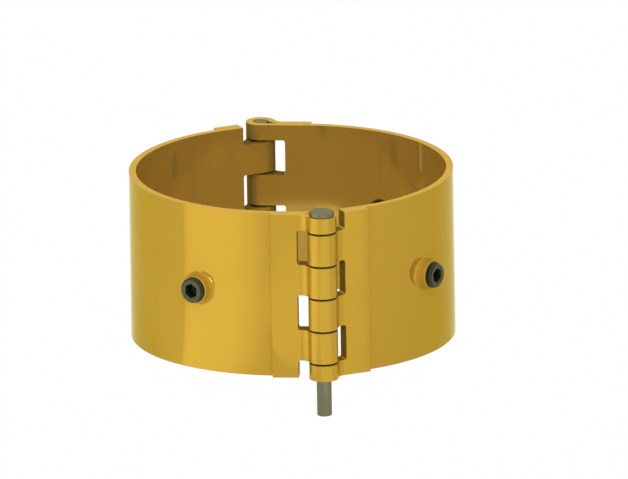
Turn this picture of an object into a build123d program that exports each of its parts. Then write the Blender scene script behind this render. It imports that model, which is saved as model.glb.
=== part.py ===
from build123d import *
from math import asin, atan2, cos, degrees, radians, sin, sqrt, tan
import os

# Hinged stop collar for round casing. The bore's axis is Z, with the origin at mid-height.
# The front hinge is at -Y and the back hinge at +Y. All sizes are in millimetres.

# Band, folded from sheet in two equal halves
bore_radius = 71.3
sheet = 3.2
band_height = 77.7

# Rolled eyes and the flaps behind them
pin_radius = 3.4
pin_clearance = 0.1
straight_angle = 14.5
bend_radius = 4.8
flap_lap = 3.5
crease_gap = 0.2

# Knuckles of the hinges, interleaved row by row
knuckle_rows = 6
knuckle_gap = 1.0
window_reach = 11.7
window_rounding = 1.0

# Removable front pin, with its head on the top knuckle
head_overhang = 2.35
head_height = 2.0
head_chamfer = 0.3
head_seat_gap = 0.05
pin_tail = 17.5
pin_chamfer = 0.3

# Set screws, and the bosses that are drawn outwards from the sheet for them
screw_angle = 45.0
screw_radius = 5.9
screw_length = 10.0
screw_recess = 0.05
thread_clearance = 0.05
socket_across_flats = 6.0
socket_depth = 5.0
cup_radius = 4.0
cup_depth = 1.2
lip_wall = 0.75
lip_height = 4.3
shoulder_width = 0.7
shoulder_height = 1.6
boss_chamfer = 0.3
root_flare = 0.5

# Room that a cutting shape has past the metal
cut_margin = 2.0

outer_radius = bore_radius + sheet
flap_radius = outer_radius + sheet
eye_hole_radius = pin_radius + pin_clearance
eye_radius = eye_hole_radius + sheet
slope = radians(straight_angle)
band_top = band_height / 2

# Near the front hinge a place on the right half is given by its run and its offset. The run
# goes along the straight end of the band, from where the half circle turns straight. The
# offset is square to that end and starts at the bore's axis.
eye_offset = bore_radius + eye_radius
eye_run = eye_offset * tan(slope)
hinge_radius = eye_offset / cos(slope)

# The bend between eye and flap is hollow outwards and touches both
bend_offset = flap_radius + bend_radius
bend_drop = bend_offset - eye_offset
bend_run = eye_run - sqrt((eye_radius + bend_radius) ** 2 - bend_drop ** 2)
roll_angle = degrees(atan2(bend_drop, bend_run - eye_run))
crease_radius = bend_radius + sheet
crease_angle = degrees(asin((crease_radius - crease_gap) / crease_radius))


def end_point(run, offset):
    return (
        offset * sin(slope) - run * cos(slope),
        -offset * cos(slope) - run * sin(slope),
    )


def eye_point(angle, radius):
    turn = radians(angle)
    return end_point(eye_run + radius * cos(turn), eye_offset + radius * sin(turn))


def bend_point(angle, radius):
    turn = radians(angle)
    return end_point(bend_run + radius * cos(turn), bend_offset + radius * sin(turn))


# Upright plane through the bore's axis, with its own X pointing outwards at the given angle
def radial_plane(angle):
    turn = radians(angle)
    return Plane(origin=(0, 0, 0), x_dir=(cos(turn), sin(turn), 0), z_dir=(sin(turn), -cos(turn), 0))


# Angles round the bend's centre: at the eye, at the flap, and where the crease is closed
bend_at_eye = roll_angle - 180
bend_at_flap = -90
bend_at_crease = -crease_angle

# Angles round the bore's axis: where the half circle ends and where the flap ends
arc_end = straight_angle - 90
flap_end = arc_end + degrees(flap_lap / flap_radius)

# Rows of knuckles from the top: the first and the last stand half outside the band
row_pitch = band_height / (knuckle_rows - 1)
even_rows = range(0, knuckle_rows, 2)
odd_rows = range(1, knuckle_rows, 2)

os.makedirs("parts", exist_ok=True)

with BuildPart() as right_half:
    # Section of the folded sheet, square to the bore: the front quarter, and its mirror image
    with BuildSketch(Plane.XY):
        with BuildLine():
            CenterArc((0, 0), bore_radius, 0, arc_end)
            Line(end_point(0, bore_radius), eye_point(-90, eye_radius))
            ThreePointArc(
                eye_point(-90, eye_radius),
                eye_point((roll_angle - 90) / 2, eye_radius),
                eye_point(roll_angle, eye_radius),
            )
            ThreePointArc(
                bend_point(bend_at_eye, bend_radius),
                bend_point((bend_at_eye + bend_at_flap) / 2, bend_radius),
                bend_point(bend_at_flap, bend_radius),
            )
            Line(end_point(bend_run, flap_radius), end_point(0, flap_radius))
            flap_arc = CenterArc((0, 0), flap_radius, arc_end, flap_end - arc_end)
            band_arc = CenterArc((0, 0), outer_radius, flap_end, -flap_end)
            Line(flap_arc @ 1, band_arc @ 0)
            Line((outer_radius, 0), (bore_radius, 0))
        make_face()
        # Pin hole, and the drop-shaped hollow that the roll leaves beside it
        with BuildLine():
            ThreePointArc(
                eye_point(roll_angle, eye_hole_radius),
                eye_point((roll_angle - 90) / 2, eye_hole_radius),
                eye_point(-90, eye_hole_radius),
            )
            crease = ThreePointArc(
                bend_point(bend_at_crease, crease_radius),
                bend_point((bend_at_crease + bend_at_eye) / 2, crease_radius),
                bend_point(bend_at_eye, crease_radius),
            )
            crease_run = bend_run + crease_radius * cos(radians(bend_at_crease))
            Line(eye_point(-90, eye_hole_radius), end_point(crease_run, outer_radius))
            Line(end_point(crease_run, outer_radius), crease @ 0)
        make_face(mode=Mode.SUBTRACT)
        mirror(about=Plane.XZ)
    extrude(amount=band_top, both=True)

    # Windows beside the other half's knuckles, punched square to the straight ends
    window_width = window_reach + eye_radius + cut_margin
    for side, rows in ((-1, even_rows), (1, odd_rows)):
        hinge_plane = Plane(
            origin=(0, side * hinge_radius, 0),
            x_dir=(cos(slope), -side * sin(slope), 0),
            z_dir=(-side * sin(slope), -cos(slope), 0),
        )
        with BuildSketch(hinge_plane):
            for row in rows:
                with Locations((window_reach, band_top - row * row_pitch)):
                    RectangleRounded(
                        window_width,
                        row_pitch + knuckle_gap,
                        window_rounding,
                        align=(Align.MAX, Align.CENTER),
                    )
        extrude(amount=eye_radius + cut_margin, both=True, mode=Mode.SUBTRACT)

    # Threaded bosses, drawn outwards with a shoulder and a thinner lip
    thread_radius = screw_radius + thread_clearance
    lip_radius = thread_radius + lip_wall
    lip_top = outer_radius + lip_height
    shoulder_radius = lip_radius + shoulder_width
    shoulder_top = outer_radius + shoulder_height
    root_radius = shoulder_radius + root_flare + sheet / 2
    for angle in (screw_angle - 90, 90 - screw_angle):
        boss_plane = radial_plane(angle)
        boss_axis = Axis((0, 0, 0), boss_plane.x_dir)
        with BuildSketch(boss_plane):
            with BuildLine():
                Polyline(
                    (bore_radius + sheet / 2, 0),
                    (bore_radius + sheet / 2, root_radius),
                    (outer_radius + root_flare, shoulder_radius),
                    (shoulder_top - boss_chamfer, shoulder_radius),
                    (shoulder_top, shoulder_radius - boss_chamfer),
                    (shoulder_top, lip_radius),
                    (lip_top - boss_chamfer, lip_radius),
                    (lip_top, lip_radius - boss_chamfer),
                    (lip_top, 0),
                    close=True,
                )
            make_face()
        revolve(axis=boss_axis)
        with BuildSketch(boss_plane):
            with Locations((bore_radius - cut_margin, 0)):
                Rectangle(
                    sheet + lip_height + 2 * cut_margin,
                    thread_radius,
                    align=(Align.MIN, Align.MIN),
                )
        revolve(axis=boss_axis, mode=Mode.SUBTRACT)

right_half.part.label = "right_half"
export_step(right_half.part, "parts/right_half.step")

# The left half is the same pressing, turned half a turn about the bore's axis
with BuildPart() as left_half:
    add(right_half.part.rotate(Axis.Z, 180))

left_half.part.label = "left_half"
export_step(left_half.part, "parts/left_half.step")

# Front pin: its head rests on the top knuckle, and its end stands out below the band
with BuildPart() as front_hinge_pin:
    head_seat = band_top + head_seat_gap
    with BuildSketch(Plane.XY.offset(-band_top - pin_tail)):
        with Locations((0, -hinge_radius)):
            Circle(pin_radius)
    extrude(amount=pin_tail + band_height + head_seat_gap)
    chamfer(front_hinge_pin.edges().sort_by(Axis.Z)[0], pin_chamfer)
    with BuildSketch(Plane.XY.offset(head_seat)):
        with Locations((0, -hinge_radius)):
            Circle(pin_radius + head_overhang)
    extrude(amount=head_height)
    chamfer(front_hinge_pin.edges().sort_by(Axis.Z)[-1], head_chamfer)

front_hinge_pin.part.label = "front_hinge_pin"
export_step(front_hinge_pin.part, "parts/front_hinge_pin.step")

# Back pin: plain, and flush with both rims
with BuildPart() as back_hinge_pin:
    with BuildSketch(Plane.XY.offset(-band_top)):
        with Locations((0, hinge_radius)):
            Circle(pin_radius)
    extrude(amount=band_height)
    chamfer(back_hinge_pin.edges().filter_by(GeomType.CIRCLE), pin_chamfer)

back_hinge_pin.part.label = "back_hinge_pin"
export_step(back_hinge_pin.part, "parts/back_hinge_pin.step")

# Set screws, each with its place round the bore and the turn of its socket, in degrees. The
# sharp rims of their cup points lie just behind the bore's wall, clear of the casing.
set_screws = {
    "set_screw_front_left": (screw_angle - 180, 26),
    "set_screw_front_right": (-screw_angle, 33),
    "set_screw_back_right": (screw_angle, 12),
    "set_screw_back_left": (180 - screw_angle, 48),
}
screw_tip = bore_radius + screw_recess
screw_face = screw_tip + screw_length

for screw_name, (place, socket_turn) in set_screws.items():
    screw_plane = radial_plane(place)
    face_plane = Plane(
        origin=screw_plane.x_dir * screw_face,
        x_dir=-screw_plane.z_dir,
        z_dir=screw_plane.x_dir,
    )
    with BuildPart() as set_screw:
        with BuildSketch(screw_plane):
            with BuildLine():
                Polyline(
                    (screw_tip + cup_depth, 0),
                    (screw_tip, cup_radius),
                    (screw_tip + screw_radius - cup_radius, screw_radius),
                    (screw_face, screw_radius),
                    (screw_face, 0),
                    close=True,
                )
            make_face()
        revolve(axis=Axis((0, 0, 0), screw_plane.x_dir))
        with BuildSketch(face_plane):
            RegularPolygon(
                socket_across_flats / 2,
                side_count=6,
                major_radius=False,
                rotation=socket_turn,
            )
        extrude(amount=-socket_depth, mode=Mode.SUBTRACT)
    set_screw.part.label = screw_name
    export_step(set_screw.part, f"parts/{screw_name}.step")
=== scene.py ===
import math

import bpy
import numpy as np
from mathutils import Matrix, Vector


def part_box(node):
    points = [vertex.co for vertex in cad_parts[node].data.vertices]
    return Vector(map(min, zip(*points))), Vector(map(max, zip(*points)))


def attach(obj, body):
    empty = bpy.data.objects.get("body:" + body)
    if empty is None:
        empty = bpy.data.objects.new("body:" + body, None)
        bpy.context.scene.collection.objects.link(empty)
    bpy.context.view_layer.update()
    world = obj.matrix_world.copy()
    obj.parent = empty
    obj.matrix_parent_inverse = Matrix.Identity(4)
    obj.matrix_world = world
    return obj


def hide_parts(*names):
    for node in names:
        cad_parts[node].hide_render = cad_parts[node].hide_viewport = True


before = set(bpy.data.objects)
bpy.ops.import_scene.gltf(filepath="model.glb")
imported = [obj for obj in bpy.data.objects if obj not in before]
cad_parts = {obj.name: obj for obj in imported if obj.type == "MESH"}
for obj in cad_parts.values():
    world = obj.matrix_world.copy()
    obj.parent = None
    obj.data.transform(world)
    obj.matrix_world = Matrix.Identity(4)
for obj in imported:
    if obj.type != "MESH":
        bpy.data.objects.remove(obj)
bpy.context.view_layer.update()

# Sizes that the rest of the scene is worked out from, in metres
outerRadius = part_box("right_half")[1].x
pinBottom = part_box("front_hinge_pin")[0].z
farOut = outerRadius * 2  # beyond the whole collar

view = {
    "azimuth": -9.8,  # degrees round the collar, from straight in front of the front hinge
    "elevation": 16.02,
    "roll": 0.9,
    "distance": 1.0,  # metres, for a parallel view
    "pictureWidth": 628,
    "pictureHeight": 479,
    "radiusPixels": 162.2,  # the band's outer radius in the picture
    "centreX": 292.2,  # where the middle of the collar stands in the picture
    "centreY": 249.6,
}


def viewAxes():
    # Right, up and forward of the camera, before its roll
    azimuth = math.radians(view["azimuth"])
    elevation = math.radians(view["elevation"])
    right = Vector((math.cos(azimuth), math.sin(azimuth), 0))
    forward = Vector((
        -math.sin(azimuth) * math.cos(elevation),
        math.cos(azimuth) * math.cos(elevation),
        -math.sin(elevation),
    ))
    return right, right.cross(forward), forward


def addCamera():
    right, up, forward = viewAxes()
    roll = math.radians(view["roll"])
    turnedRight = right * math.cos(roll) - up * math.sin(roll)
    turnedUp = right * math.sin(roll) + up * math.cos(roll)
    pixelsPerMetre = view["radiusPixels"] / outerRadius
    aside = (view["centreX"] - view["pictureWidth"] / 2) / pixelsPerMetre
    above = (view["pictureHeight"] / 2 - view["centreY"]) / pixelsPerMetre
    place = -forward * view["distance"] - turnedRight * aside - turnedUp * above

    data = bpy.data.cameras.new("camera")
    data.type = "ORTHO"
    data.ortho_scale = view["pictureWidth"] / pixelsPerMetre
    camera = bpy.data.objects.new("camera", data)
    turn = Matrix((turnedRight, turnedUp, -forward)).transposed().to_4x4()
    camera.matrix_world = Matrix.Translation(place) @ turn
    bpy.context.scene.collection.objects.link(camera)
    bpy.context.scene.camera = camera


addCamera()
print("Camera placed")

nodeGrid = {"perRow": 8, "left": -1800, "across": 200, "up": 250}  # layout in the node editor


def feed(tree, socket, value):
    # The value is a number, a colour, a vector or another node's output
    if isinstance(value, bpy.types.NodeSocket):
        tree.links.new(value, socket)
    else:
        socket.default_value = value


def addNode(tree, kind, settings=None, **inputs):
    # An input's name has _ for each space in it
    row, column = divmod(len(tree.nodes), nodeGrid["perRow"])
    node = tree.nodes.new(kind)
    node.location = (nodeGrid["left"] + column * nodeGrid["across"], row * nodeGrid["up"])
    for name, value in (settings or {}).items():
        setattr(node, name, value)
    for name, value in inputs.items():
        feed(tree, node.inputs[name.replace("_", " ")], value)
    return node


def maths(tree, operation, *values):
    # Each value is a number or another node's output, in the order of the node's sockets
    node = addNode(tree, "ShaderNodeMath", {"operation": operation})
    for socket, value in zip(node.inputs, values):
        feed(tree, socket, value)
    return node.outputs["Value"]


def combined(tree, operation, *values):
    # The product, or the greatest, of all the values, worked out two at a time
    result = values[0]
    for value in values[1:]:
        result = maths(tree, operation, result, value)
    return result


def vectorMaths(tree, operation, *vectors):
    node = addNode(tree, "ShaderNodeVectorMath", {"operation": operation})
    for socket, vector in zip(node.inputs, vectors):
        feed(tree, socket, vector)
    return node.outputs["Value" if operation in ("LENGTH", "DOT_PRODUCT") else "Vector"]


def splitUp(tree, vector):
    return addNode(tree, "ShaderNodeSeparateXYZ", Vector=vector).outputs


def mapped(tree, value, start, end, low=0.0, high=1.0, curve="LINEAR"):
    # From low to high while the value goes from start to end, and level beyond both
    node = addNode(
        tree, "ShaderNodeMapRange", {"interpolation_type": curve},
        Value=value, From_Min=start, From_Max=end, To_Min=low, To_Max=high,
    )
    return node.outputs["Result"]


lamps = {
    # Angles are in degrees as seen from the middle of the collar: azimuth from the camera's side,
    # and elevation. The back is where a lamp's back looks. The key and the low front lamp lean low
    # beside the collar, where the band mirrors them, and fade over their faces: each fade has the
    # measure, where it is dark, and where it is full. X and Y are shares across and along the
    # face, and the fan is X / (Y + fanFoot), whose lines the band mirrors upright.
    "key": {
        "place": (-30.4, -6.4), "distance": 0.2241, "back": (-81.2, -72.3),
        "size": (0.26, 0.198), "power": 0.107,
        "fades": [("fan", -0.06, 0.08), ("fan", 1.75, 0.3), ("Y", 0.0, 0.15)],
    },
    "lowFront": {
        "place": (10.6, -7.8), "distance": 0.221, "back": (51, -72.6),
        "size": (0.22, 0.168), "power": 0.035,
        "fades": [("X", -0.15, 0.35), ("X", 1.05, 0.9), ("Y", -0.1, 0.05)],
    },
    "front": {
        "place": (5, 32), "distance": 1.0, "back": (5, 32),
        "size": (0.5, 0.4), "power": 2.4, "fades": [],
    },
    "left": {
        "place": (-75, 42), "distance": 1.0, "back": (-75, 42),
        "size": (0.5, 0.5), "power": 0.7, "fades": [],
    },
    "top": {
        "place": (0, 80), "distance": 0.8, "back": (0, 80),
        "size": (0.6, 0.6), "power": 0.3, "fades": [],
    },
    "back": {
        "place": (180, 16), "distance": 0.9, "back": (180, 16),
        "size": (0.5, 0.3), "power": 0.15, "fades": [],
    },
}
fanFoot = 0.16


def directionFrom(azimuth, elevation):
    azimuth = math.radians(azimuth + view["azimuth"])
    elevation = math.radians(elevation)
    return Vector((
        math.sin(azimuth) * math.cos(elevation),
        -math.cos(azimuth) * math.cos(elevation),
        math.sin(elevation),
    ))


def fadeLamp(data, fades):
    # Strength over the lamp's face: the product of one smooth step for each fade
    data.use_nodes = True
    tree = data.node_tree
    face = splitUp(tree, addNode(tree, "ShaderNodeNewGeometry").outputs["Parametric"])
    fan = maths(tree, "DIVIDE", face["X"], maths(tree, "ADD", face["Y"], fanFoot))
    measures = {"X": face["X"], "Y": face["Y"], "fan": fan}
    steps = [
        mapped(tree, measures[measure], dark, full, curve="SMOOTHSTEP")
        for measure, dark, full in fades
    ]
    strength = combined(tree, "MULTIPLY", *steps)
    feed(tree, tree.nodes["Emission"].inputs["Strength"], strength)


def addLamps():
    for name, lamp in lamps.items():
        data = bpy.data.lights.new(name, "AREA")
        data.shape = "RECTANGLE"
        data.size, data.size_y = lamp["size"]
        data.energy = lamp["power"]
        light = bpy.data.objects.new(name, data)
        light.location = directionFrom(*lamp["place"]) * lamp["distance"]
        light.rotation_euler = directionFrom(*lamp["back"]).to_track_quat("Z", "Y").to_euler()
        light.visible_camera = False
        bpy.context.scene.collection.objects.link(light)
        if lamp["fades"]:
            fadeLamp(data, lamp["fades"])


studio = {
    "white": (1, 1, 1, 1),
    "skyLight": 0.34,  # strength of the white room as a light
    "floorColour": (0.86, 0.86, 0.86, 1),
    "floorGlow": 0.99,  # share of plain white in the floor as it is seen
    "floorSize": 6.0,  # metres
}


def seenDirectly(tree):
    # 1 for the camera's own rays and for what gloss or glass mirrors
    path = addNode(tree, "ShaderNodeLightPath").outputs
    rays = path["Is Camera Ray"], path["Is Glossy Ray"], path["Is Transmission Ray"]
    return combined(tree, "MAXIMUM", *rays)


def mixShaders(tree, share, first, second, output):
    mix = addNode(tree, "ShaderNodeMixShader")
    for socket, value in zip(mix.inputs, (share, first.outputs[0], second.outputs[0])):
        feed(tree, socket, value)
    tree.links.new(mix.outputs[0], output.inputs[0])


def addRoom():
    # White all round: at full strength where it is seen, and dimmer as a light
    world = bpy.data.worlds.new("studio")
    world.use_nodes = True
    bpy.context.scene.world = world
    tree = world.node_tree
    tree.nodes.clear()
    white = studio["white"]
    dim = addNode(tree, "ShaderNodeBackground", Color=white, Strength=studio["skyLight"])
    full = addNode(tree, "ShaderNodeBackground", Color=white, Strength=1.0)
    mixShaders(tree, seenDirectly(tree), dim, full, addNode(tree, "ShaderNodeOutputWorld"))


def addFloor():
    # A square at the lower end of the front pin
    half = studio["floorSize"] / 2
    sides = [(-half, -half), (half, -half), (half, half), (-half, half)]
    mesh = bpy.data.meshes.new("floor")
    mesh.from_pydata([(x, y, pinBottom) for x, y in sides], [], [(0, 1, 2, 3)])
    floor = bpy.data.objects.new("floor", mesh)
    bpy.context.scene.collection.objects.link(floor)
    material = bpy.data.materials.new("paleFloor")
    material.use_nodes = True
    tree = material.node_tree
    tree.nodes.clear()
    diffuse = addNode(tree, "ShaderNodeBsdfDiffuse", Color=studio["floorColour"])
    glow = addNode(tree, "ShaderNodeEmission", Color=studio["white"], Strength=1.0)
    share = maths(tree, "MULTIPLY", seenDirectly(tree), studio["floorGlow"])
    mixShaders(tree, share, diffuse, glow, addNode(tree, "ShaderNodeOutputMaterial"))
    mesh.materials.append(material)


bpy.context.scene.view_settings.view_transform = "Standard"
addLamps()
addRoom()
addFloor()
print("Studio lit")

# Sizes in the finishes are in metres, and variation is the share of the colour that the pattern
# takes away and adds
yellowPaint = {
    "colour": (0.63, 0.385, 0.044),
    "variation": 0.04,
    "metallic": 0.4,
    "specular": 0.045,
    "specularTint": (1.0, 0.95, 0.05),
    "roughness": (0.06, 0.08),
    "cloudSize": 0.05,
    "peelSize": 0.0012,
    "peelHeight": 0.000004,
    "boreLightTint": (0.98, 1.03, 1.7),  # painted light: a paler, bluer tone on the faces that look at the bore, standing in for the less coloured light inside it
    "boreFacing": (0.3, 0.8),  # share of a normal towards the axis, where it begins and is full
    "boreRoughness": 0.09,
    # painted warm reflection on the level rims at the top and bottom
    "rimReflectionTint": (1.06, 0.88, 0.4),
    "tappedPaintedShade": (0.2, 0.26, 0.35),  # painted shade round the tapped holes in the bore
    "tappedRim": (0.0064, 0.007),  # from a set screw's axis, where it is full and ends
    "cutPaintedShade": (0.55, 0.6, 0.8),  # painted shade on the cut faces of the windows, their sills and lintels, and the eyes' limbs
    "cutReach": 0.02,  # to both sides of the hinges, as are the next two
    "sillReach": 0.013,
    "eyeReach": 0.009,
    "insideRims": 0.038,  # up and down from the middle
    "squareOn": (0.9, 1.1),  # share of a normal along an axis that a face is square to
    "eyeRadius": 0.0068,
    "pinCentre": 0.0806,  # from the bore's axis
    "limbTurn": (0.45, 0.85),  # share of a normal aside, where the painted shade on the eyes begins and is full
    "bossBeyond": 0.0748,  # from the bore's axis
    "bossBeside": 0.035,  # from the hinges
    "bossRoughness": 0.65,  # where the sheet was stretched
}
darkSteel = {
    "colour": (0.19, 0.18, 0.11),
    "variation": 0.25,
    "metallic": 0.9,
    "specularTint": (0.55, 0.55, 0.43),
    "roughness": (0.22, 0.42),
    "streakSize": 0.0007,
    "streakLength": 0.05,
    "streakDepth": 0.000006,
}
blackOxide = {
    "colour": (0.068, 0.071, 0.04),
    "variation": 0.2,
    "metallic": 0.35,
    "specularTint": (0.6, 0.62, 0.4),
    "roughness": (0.3, 0.5),
    "grainSize": 0.0009,
    "grainDepth": 0.000012,
}
levelShare = (1, 1, 0)  # times a vector, its part that lies level


def newMaterial(name, finish):
    material = bpy.data.materials.new(name)
    material.use_nodes = True
    look = material.node_tree.nodes["Principled BSDF"].inputs
    look["Metallic"].default_value = finish["metallic"]
    look["Specular Tint"].default_value = (*finish["specularTint"], 1)
    return material, material.node_tree, look


def objectPlace(tree):
    return addNode(tree, "ShaderNodeTexCoord").outputs["Object"]


def noise(tree, place, size, detail):
    node = addNode(tree, "ShaderNodeTexNoise", Vector=place, Scale=1 / size, Detail=detail)
    return node.outputs["Fac"]


def varied(colour, share):
    return (*(min(channel * share, 1) for channel in colour), 1)


def variedColour(tree, pattern, finish):
    low = varied(finish["colour"], 1 - finish["variation"])
    high = varied(finish["colour"], 1 + finish["variation"])
    mix = addNode(tree, "ShaderNodeMix", {"data_type": "RGBA"}, Factor=pattern, A=low, B=high)
    return mix.outputs["Result"]


def tinted(tree, colour, tint, mask):
    # The colour, times the tint where the mask is 1
    settings = {"data_type": "RGBA", "blend_type": "MULTIPLY"}
    mix = addNode(tree, "ShaderNodeMix", settings, Factor=mask, A=colour, B=(*tint, 1))
    return mix.outputs["Result"]


def roughened(tree, look, pattern, depth):
    bump = addNode(tree, "ShaderNodeBump", Height=pattern, Distance=depth)
    tree.links.new(bump.outputs["Normal"], look["Normal"])


def sizeWithin(tree, value, low, high):
    # 1 where the value without its sign lies between the two limits
    size = maths(tree, "ABSOLUTE", value)
    return maths(tree, "COMPARE", size, (low + high) / 2, (high - low) / 2)


def cutFaces(tree, finish, place, normal):
    # Faces inside the windows: walls across the band, sills and lintels along it, and the eyes on
    # the bore's side of the pins as far as they look aside
    at, looks = splitUp(tree, place), splitUp(tree, normal)
    beside = sizeWithin(tree, at["X"], finish["eyeReach"], finish["cutReach"])
    across = sizeWithin(tree, looks["X"], *finish["squareOn"])
    walls = maths(tree, "MULTIPLY", beside, across)

    near = sizeWithin(tree, at["X"], 0, finish["sillReach"])
    inside = sizeWithin(tree, at["Z"], 0, finish["insideRims"])
    level = sizeWithin(tree, looks["Z"], *finish["squareOn"])
    sills = combined(tree, "MULTIPLY", near, inside, level)

    eyes = sizeWithin(tree, at["X"], 0, finish["eyeRadius"])
    boreSide = sizeWithin(tree, at["Y"], 0, finish["pinCentre"])
    aside = maths(tree, "ABSOLUTE", looks["X"])
    turned = mapped(tree, aside, *finish["limbTurn"], curve="SMOOTHSTEP")
    limbs = combined(tree, "MULTIPLY", eyes, boreSide, turned)
    return combined(tree, "MAXIMUM", walls, sills, limbs)


def bosses(tree, finish, place):
    # Outside the band, and away from the hinges
    fromAxis = vectorMaths(tree, "LENGTH", vectorMaths(tree, "MULTIPLY", place, levelShare))
    beyond = sizeWithin(tree, fromAxis, finish["bossBeyond"], farOut)
    beside = sizeWithin(tree, splitUp(tree, place)["X"], finish["bossBeside"], farOut)
    return maths(tree, "MULTIPLY", beyond, beside)


def towardsBore(tree, finish, place, normal):
    # How far a face looks at the bore's axis: minus its normal times the level way out from there
    outward = vectorMaths(tree, "NORMALIZE", vectorMaths(tree, "MULTIPLY", place, levelShare))
    facing = vectorMaths(tree, "DOT_PRODUCT", outward, normal)
    begins, full = finish["boreFacing"]
    return mapped(tree, facing, -begins, -full)


def tappedRims(tree, finish, place):
    # Round the set screws, which stand at 45 degrees: the distance from the nearest one's axis is
    # the length of (|x| - |y|) / root 2 and z
    at = splitUp(tree, place)
    sizes = maths(tree, "ABSOLUTE", at["X"]), maths(tree, "ABSOLUTE", at["Y"])
    aside = maths(tree, "MULTIPLY", maths(tree, "SUBTRACT", *sizes), math.sqrt(0.5))
    spot = addNode(tree, "ShaderNodeCombineXYZ", X=aside, Y=at["Z"]).outputs["Vector"]
    full, ends = finish["tappedRim"]
    return mapped(tree, vectorMaths(tree, "LENGTH", spot), ends, full)


def rims(tree, finish, place, normal):
    # The level faces at the top and the bottom of the band
    outside = sizeWithin(tree, splitUp(tree, place)["Z"], finish["insideRims"], outerRadius)
    level = sizeWithin(tree, splitUp(tree, normal)["Z"], *finish["squareOn"])
    return maths(tree, "MULTIPLY", outside, level)


def paintYellow():
    # Sprayed gloss paint with soft clouds of tone and a fine orange peel, matt on the cut faces
    # and dull on the bosses;
    # painted shade on the cut faces, eye limbs and round the tapped holes, painted light towards
    # the bore and on the rims
    finish = yellowPaint
    material, tree, look = newMaterial("yellowPaint", finish)
    look["Specular IOR Level"].default_value = finish["specular"]
    source = addNode(tree, "ShaderNodeTexCoord").outputs
    place, normal = source["Object"], source["Normal"]
    clouds = noise(tree, place, finish["cloudSize"], detail=3)
    peel = noise(tree, place, finish["peelSize"], detail=1)
    cut = cutFaces(tree, finish, place, normal)
    bore = towardsBore(tree, finish, place, normal)
    tapped = maths(tree, "MULTIPLY", tappedRims(tree, finish, place), bore)

    colour = variedColour(tree, clouds, finish)
    # Painted light: the faces that look at the bore get a paler, bluer tone
    colour = tinted(tree, colour, finish["boreLightTint"], bore)
    # Painted shade: the cut faces, sills and eye limbs are darkened
    colour = tinted(tree, colour, finish["cutPaintedShade"], cut)
    # Painted reflection: the level rims are tinted warmer and more orange
    colour = tinted(tree, colour, finish["rimReflectionTint"], rims(tree, finish, place, normal))
    # Painted shade: a dark ring round each tapped hole on the bore's side
    colour = tinted(tree, colour, finish["tappedPaintedShade"], tapped)
    feed(tree, look["Base Color"], colour)
    feed(tree, look["Metallic"], mapped(tree, cut, 0, 1, finish["metallic"], 0))

    gloss = mapped(tree, clouds, 0, 1, *finish["roughness"])
    dull = maths(tree, "MULTIPLY", bosses(tree, finish, place), finish["bossRoughness"])
    boreDulled = maths(tree, "MULTIPLY", bore, finish["boreRoughness"])
    feed(tree, look["Roughness"], combined(tree, "MAXIMUM", gloss, cut, dull, boreDulled))
    roughened(tree, look, peel, finish["peelHeight"])
    return material


def drawSteel():
    # Bright drawn bar gone dull: fine streaks along the pin
    finish = darkSteel
    material, tree, look = newMaterial("darkSteel", finish)
    squash = (1, 1, finish["streakSize"] / finish["streakLength"])
    stretch = addNode(tree, "ShaderNodeMapping", Vector=objectPlace(tree), Scale=squash)
    streaks = noise(tree, stretch.outputs["Vector"], finish["streakSize"], detail=3)
    feed(tree, look["Base Color"], variedColour(tree, streaks, finish))
    feed(tree, look["Roughness"], mapped(tree, streaks, 0, 1, *finish["roughness"]))
    roughened(tree, look, streaks, finish["streakDepth"])
    return material


def blackenSteel():
    # Black oxide with painted light and shade: lighter on the screw's face, darker on the side and
    # thread, darkest in the socket
    finish = blackOxide
    material, tree, look = newMaterial("blackOxide", finish)
    grain = noise(tree, objectPlace(tree), finish["grainSize"], detail=4)
    paintedLightShade = addNode(tree, "ShaderNodeAttribute", {"attribute_name": "paintedLightShade"}).outputs["Fac"]
    litAndShaded = addNode(
        tree, "ShaderNodeVectorMath", {"operation": "SCALE"},
        Vector=variedColour(tree, grain, finish), Scale=paintedLightShade,
    )
    feed(tree, look["Base Color"], litAndShaded.outputs["Vector"])
    feed(tree, look["Roughness"], mapped(tree, grain, 0, 1, *finish["roughness"]))
    roughened(tree, look, grain, finish["grainDepth"])
    return material


yellow = paintYellow()
steel = drawSteel()
black = blackenSteel()
finishes = {
    "left_half": yellow,
    "right_half": yellow,
    "front_hinge_pin": steel,
    "back_hinge_pin": steel,
}
for node, material in finishes.items():
    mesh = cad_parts[node].data
    mesh.materials.clear()
    mesh.materials.append(material)
print("Halves and pins finished")

setScrew = {
    "radius": 0.0059,
    "threadPitch": 0.00175,
    "threadDepth": 0.00107,
    "crest": 0.13,  # flat shares of the thread's profile
    "root": 0.2,
    "chamfer": 0.0007,
    "length": 0.01,
    "tip": 0.07135,  # from the bore's axis
    "cupRadius": 0.004,
    "cupDepth": 0.0012,
    "socketWidth": 0.006,
    "socketDepth": 0.005,
    "socketCone": 0.0016,
    "mouthBevel": 0.0003,
    "bevelRounding": 0.3,  # share of the bevel at its middle ring, 0.5 for a flat one
    "coneMouth": 0.9,  # width of the drilled cone as a share of the socket
    "sharpAngle": 32,  # degrees
    "tones": {"side": 0.55, "face": 1.2, "socket": 0.35},  # shares of the steel's colour: painted light on the face, painted shade on the side, thread and socket
    "around": 96,
    "rowsPerPitch": 16,
    "places": {  # degrees round the bore, and the turn of the socket
        "set_screw_front_left": (-135, 26),
        "set_screw_front_right": (-45, 33),
        "set_screw_back_right": (45, 12),
        "set_screw_back_left": (135, 48),
    },
}


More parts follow.
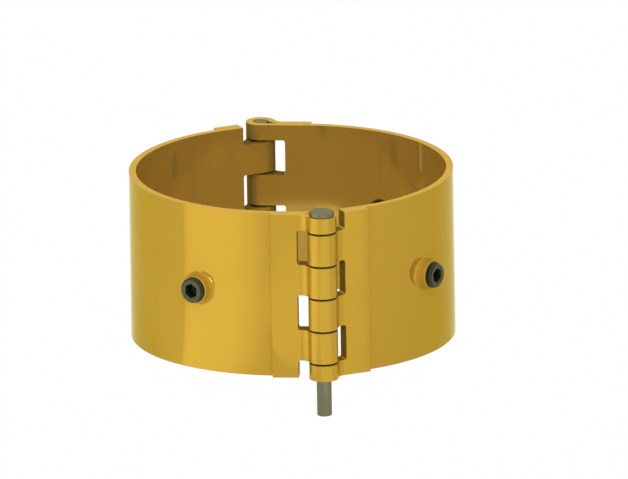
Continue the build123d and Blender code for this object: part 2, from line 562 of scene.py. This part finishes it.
# A screw is rings of points from the cup's middle to the socket's middle, each point given by its
# radius and height. The threaded part's radius is the root's plus the depth times a clipped
# triangle wave, whose phase is height / pitch - angle / full turn, cut to cones at both ends. The
# socket's is half the width across flats / cosine of the angle from the middle of the flat.
def screwSurface(turn):
    screw = setScrew
    angle = np.linspace(0, 2 * np.pi, screw["around"], endpoint=False)[None, :]
    tip, face = screw["tip"], screw["tip"] + screw["length"]
    coneTop = tip + screw["radius"] - screw["cupRadius"]

    rows = int(screw["length"] / screw["threadPitch"] * screw["rowsPerPitch"])
    height = np.linspace(tip, face, rows)[:, None]
    phase = (height / screw["threadPitch"] - angle / (2 * np.pi)) % 1
    wave = (1 - np.abs(2 * phase - 1) - screw["root"]) / (1 - screw["root"] - screw["crest"])
    thread = screw["radius"] + screw["threadDepth"] * (np.clip(wave, 0, 1) - 1)
    tipCone = screw["radius"] - np.maximum(coneTop - height, 0)
    faceCone = screw["radius"] - np.maximum(height - (face - screw["chamfer"]), 0)
    side = np.minimum(thread, np.minimum(tipCone, faceCone))

    fromFlat = (angle - math.radians(turn)) % (np.pi / 3) - np.pi / 6
    hexagon = screw["socketWidth"] / 2 / np.cos(fromFlat)
    even = np.ones_like(angle)
    bevel = screw["mouthBevel"]
    rounded = bevel * screw["bevelRounding"]
    floorHeight = face - screw["socketDepth"]
    rings = [
        (side, height * even),
        (hexagon + bevel, face * even),
        (hexagon + rounded, (face - rounded) * even),
        (hexagon, (face - bevel) * even),
        (hexagon, floorHeight * even),
        (hexagon * screw["coneMouth"], floorHeight * even),
    ]
    radius = np.vstack([ring[0] for ring in rings])
    level = np.vstack([ring[1] for ring in rings])

    # The face runs from the side's last ring over the first two of the bevel
    tones = screw["tones"]
    tone = np.full(len(radius), tones["side"])
    tone[rows - 1:rows + 2] = tones["face"]
    tone[rows + 2:] = tones["socket"]
    return angle, radius, level, tone


# A point lies at its radius times the sine and cosine of its angle, square to the screw's axis,
# and at its height along that axis. Each ring is joined to the next by a row of quads, and the
# first and the last are closed with triangles to the cup's and the socket's middle.
def addScrew(name, place, turn):
    screw = setScrew
    angle, radius, level, tone = screwSurface(turn)
    around = screw["around"]
    outward = np.array([math.cos(math.radians(place)), math.sin(math.radians(place)), 0])
    sideways = np.array([-outward[1], outward[0], 0])
    upward = np.array([0, 0, 1.0])
    points = (
        (radius * np.cos(angle))[..., None] * sideways
        + (radius * np.sin(angle))[..., None] * upward
        + level[..., None] * outward
    ).reshape(-1, 3)
    cupMiddle = outward * (screw["tip"] + screw["cupDepth"])
    socketEnd = screw["tip"] + screw["length"] - screw["socketDepth"] - screw["socketCone"]
    points = np.vstack([points, cupMiddle, outward * socketEnd])
    tone = np.append(np.repeat(tone, around), [tone[0], tone[-1]])

    lastRing = len(radius) - 1
    ring, step = np.meshgrid(np.arange(lastRing), np.arange(around), indexing="ij")
    ahead = (step + 1) % around
    here, above = ring * around, (ring + 1) * around
    quads = np.stack([here + step, here + ahead, above + ahead, above + step], axis=-1)
    step = np.arange(around)
    ahead = (step + 1) % around
    cup = np.stack([ahead, step, np.full(around, len(points) - 2)], axis=-1)
    end = lastRing * around
    cone = np.stack([end + step, end + ahead, np.full(around, len(points) - 1)], axis=-1)
    faces = quads.reshape(-1, 4).tolist() + cup.tolist() + cone.tolist()

    mesh = bpy.data.meshes.new(name + "_threaded")
    mesh.from_pydata(points.tolist(), [], faces)
    # The attribute carries painted light and shade: the face lighter, the side and socket darker
    mesh.attributes.new("paintedLightShade", "FLOAT", "POINT").data.foreach_set("value", tone)
    mesh.validate()
    mesh.shade_smooth()
    mesh.set_sharp_from_angle(angle=math.radians(screw["sharpAngle"]))
    mesh.materials.append(black)
    piece = bpy.data.objects.new(name + "_threaded", mesh)
    bpy.context.scene.collection.objects.link(piece)
    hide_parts(name)
    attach(piece, name + "_body")


for name, (place, turn) in setScrew["places"].items():
    addScrew(name, place, turn)
print("Set screws threaded")
